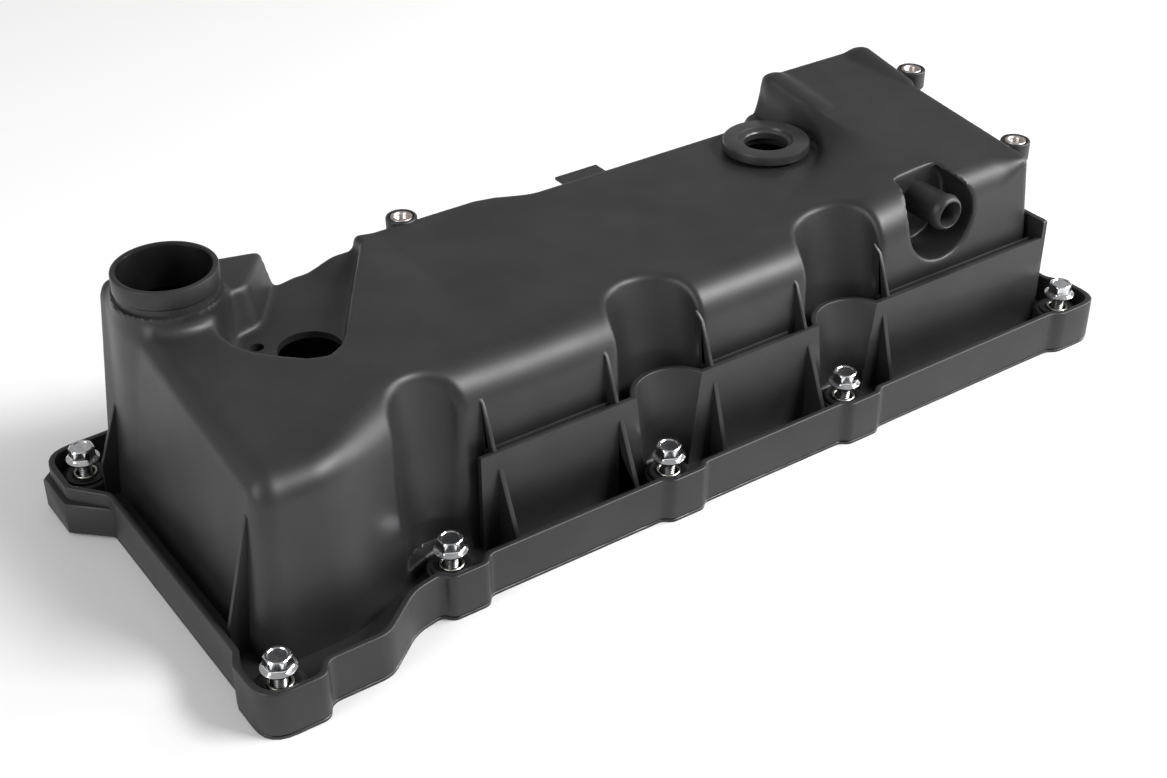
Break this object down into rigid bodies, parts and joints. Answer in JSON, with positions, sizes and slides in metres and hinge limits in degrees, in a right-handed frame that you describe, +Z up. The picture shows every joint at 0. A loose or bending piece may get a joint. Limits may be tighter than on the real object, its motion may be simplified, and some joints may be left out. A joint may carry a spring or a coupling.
{
  "type": "engine valve cover",
  "caption": "Moulded nylon engine valve cover with an oil filler neck, a vent port, a hose nipple, socket wells, a bolting rail with gasket, and captive flange bolts that slide and turn.",
  "frame": {"origin": "on the sealing plane, under the middle of the cover's footprint", "axes": "+X along the engine away from the oil filler neck, +Y from the front side with the hose nipple towards the back, +Z up"},
  "size_m": [0.477, 0.2054, 0.116],
  "materials": {
    "nylon": "satin moulded black, fine spark texture",
    "gloss_nylon": "smooth black with a soft gloss",
    "rubber": "matt black",
    "zinc": "bright zinc plate",
    "sleeve_steel": "drawn steel",
    "insert_steel": "turned and knurled"
  },
  "bodies": {
    "cover": {"cover_shell": "nylon", "rail_gasket": "rubber", "oil_baffle": "nylon", "vent_port_ring": "gloss_nylon", "harness_clip": "nylon", "insert_back": "insert_steel", "insert_end_back": "insert_steel", "insert_end_front": "insert_steel", "sleeve_front_1": "sleeve_steel", "sleeve_front_2": "sleeve_steel", "sleeve_front_3": "sleeve_steel", "sleeve_front_4": "sleeve_steel", "sleeve_front_5": "sleeve_steel", "sleeve_back_5": "sleeve_steel", "sleeve_back_4": "sleeve_steel", "sleeve_back_3": "sleeve_steel", "sleeve_back_2": "sleeve_steel", "sleeve_back_1": "sleeve_steel", "grommet_front_1": "rubber", "grommet_front_2": "rubber", "grommet_front_3": "rubber", "grommet_front_4": "rubber", "grommet_front_5": "rubber", "grommet_back_5": "rubber", "grommet_back_4": "rubber", "grommet_back_3": "rubber", "grommet_back_2": "rubber", "grommet_back_1": "rubber"},
    "slider_front_1": {"ring_front_1": "rubber"},
    "screw_front_1": {"bolt_front_1": "zinc"},
    "slider_front_2": {"ring_front_2": "rubber"},
    "screw_front_2": {"bolt_front_2": "zinc"},
    "slider_front_3": {"ring_front_3": "rubber"},
    "screw_front_3": {"bolt_front_3": "zinc"},
    "slider_front_4": {"ring_front_4": "rubber"},
    "screw_front_4": {"bolt_front_4": "zinc"},
    "slider_front_5": {"ring_front_5": "rubber"},
    "screw_front_5": {"bolt_front_5": "zinc"},
    "slider_back_5": {"ring_back_5": "rubber"},
    "screw_back_5": {"bolt_back_5": "zinc"},
    "slider_back_4": {"ring_back_4": "rubber"},
    "screw_back_4": {"bolt_back_4": "zinc"},
    "slider_back_3": {"ring_back_3": "rubber"},
    "screw_back_3": {"bolt_back_3": "zinc"},
    "slider_back_2": {"ring_back_2": "rubber"},
    "screw_back_2": {"bolt_back_2": "zinc"},
    "slider_back_1": {"ring_back_1": "rubber"},
    "screw_back_1": {"bolt_back_1": "zinc"}
  },
  "joints": [
    {"name": "bolt_front_1_slide", "type": "slide", "parent": "cover", "child": "slider_front_1", "axis": [0, 0, -1], "range_m": [0, 0.006]},
    {"name": "bolt_front_1_turn", "type": "hinge", "parent": "slider_front_1", "child": "screw_front_1", "pos_m": [-0.2133, -0.08915, 0.0225], "axis": [0, 0, 1], "continuous": true},
    {"name": "bolt_front_2_slide", "type": "slide", "parent": "cover", "child": "slider_front_2", "axis": [0, 0, -1], "range_m": [0, 0.006]},
    {"name": "bolt_front_2_turn", "type": "hinge", "parent": "slider_front_2", "child": "screw_front_2", "pos_m": [-0.1255, -0.06635, 0.0225], "axis": [0, 0, 1], "continuous": true},
    {"name": "bolt_front_3_slide", "type": "slide", "parent": "cover", "child": "slider_front_3", "axis": [0, 0, -1], "range_m": [0, 0.006]},
    {"name": "bolt_front_3_turn", "type": "hinge", "parent": "slider_front_3", "child": "screw_front_3", "pos_m": [-0.0159, -0.06535, 0.0225], "axis": [0, 0, 1], "continuous": true},
    {"name": "bolt_front_4_slide", "type": "slide", "parent": "cover", "child": "slider_front_4", "axis": [0, 0, -1], "range_m": [0, 0.006]},
    {"name": "bolt_front_4_turn", "type": "hinge", "parent": "slider_front_4", "child": "screw_front_4", "pos_m": [0.0847, -0.06495, 0.0225], "axis": [0, 0, 1], "continuous": true},
    {"name": "bolt_front_5_slide", "type": "slide", "parent": "cover", "child": "slider_front_5", "axis": [0, 0, -1], "range_m": [0, 0.006]},
    {"name": "bolt_front_5_turn", "type": "hinge", "parent": "slider_front_5", "child": "screw_front_5", "pos_m": [0.2245, -0.06595, 0.0225], "axis": [0, 0, 1], "continuous": true},
    {"name": "bolt_back_5_slide", "type": "slide", "parent": "cover", "child": "slider_back_5", "axis": [0, 0, -1], "range_m": [0, 0.006]},
    {"name": "bolt_back_5_turn", "type": "hinge", "parent": "slider_back_5", "child": "screw_back_5", "pos_m": [0.2245, 0.07865, 0.0225], "axis": [0, 0, 1], "continuous": true},
    {"name": "bolt_back_4_slide", "type": "slide", "parent": "cover", "child": "slider_back_4", "axis": [0, 0, -1], "range_m": [0, 0.006]},
    {"name": "bolt_back_4_turn", "type": "hinge", "parent": "slider_back_4", "child": "screw_back_4", "pos_m": [0.0847, 0.08865, 0.0225], "axis": [0, 0, 1], "continuous": true},
    {"name": "bolt_back_3_slide", "type": "slide", "parent": "cover", "child": "slider_back_3", "axis": [0, 0, -1], "range_m": [0, 0.006]},
    {"name": "bolt_back_3_turn", "type": "hinge", "parent": "slider_back_3", "child": "screw_back_3", "pos_m": [-0.0159, 0.08865, 0.0225], "axis": [0, 0, 1], "continuous": true},
    {"name": "bolt_back_2_slide", "type": "slide", "parent": "cover", "child": "slider_back_2", "axis": [0, 0, -1], "range_m": [0, 0.006]},
    {"name": "bolt_back_2_turn", "type": "hinge", "parent": "slider_back_2", "child": "screw_back_2", "pos_m": [-0.1255, 0.08865, 0.0225], "axis": [0, 0, 1], "continuous": true},
    {"name": "bolt_back_1_slide", "type": "slide", "parent": "cover", "child": "slider_back_1", "axis": [0, 0, -1], "range_m": [0, 0.006]},
    {"name": "bolt_back_1_turn", "type": "hinge", "parent": "slider_back_1", "child": "screw_back_1", "pos_m": [-0.2217, 0.07695, 0.0225], "axis": [0, 0, 1], "continuous": true}
  ]
}
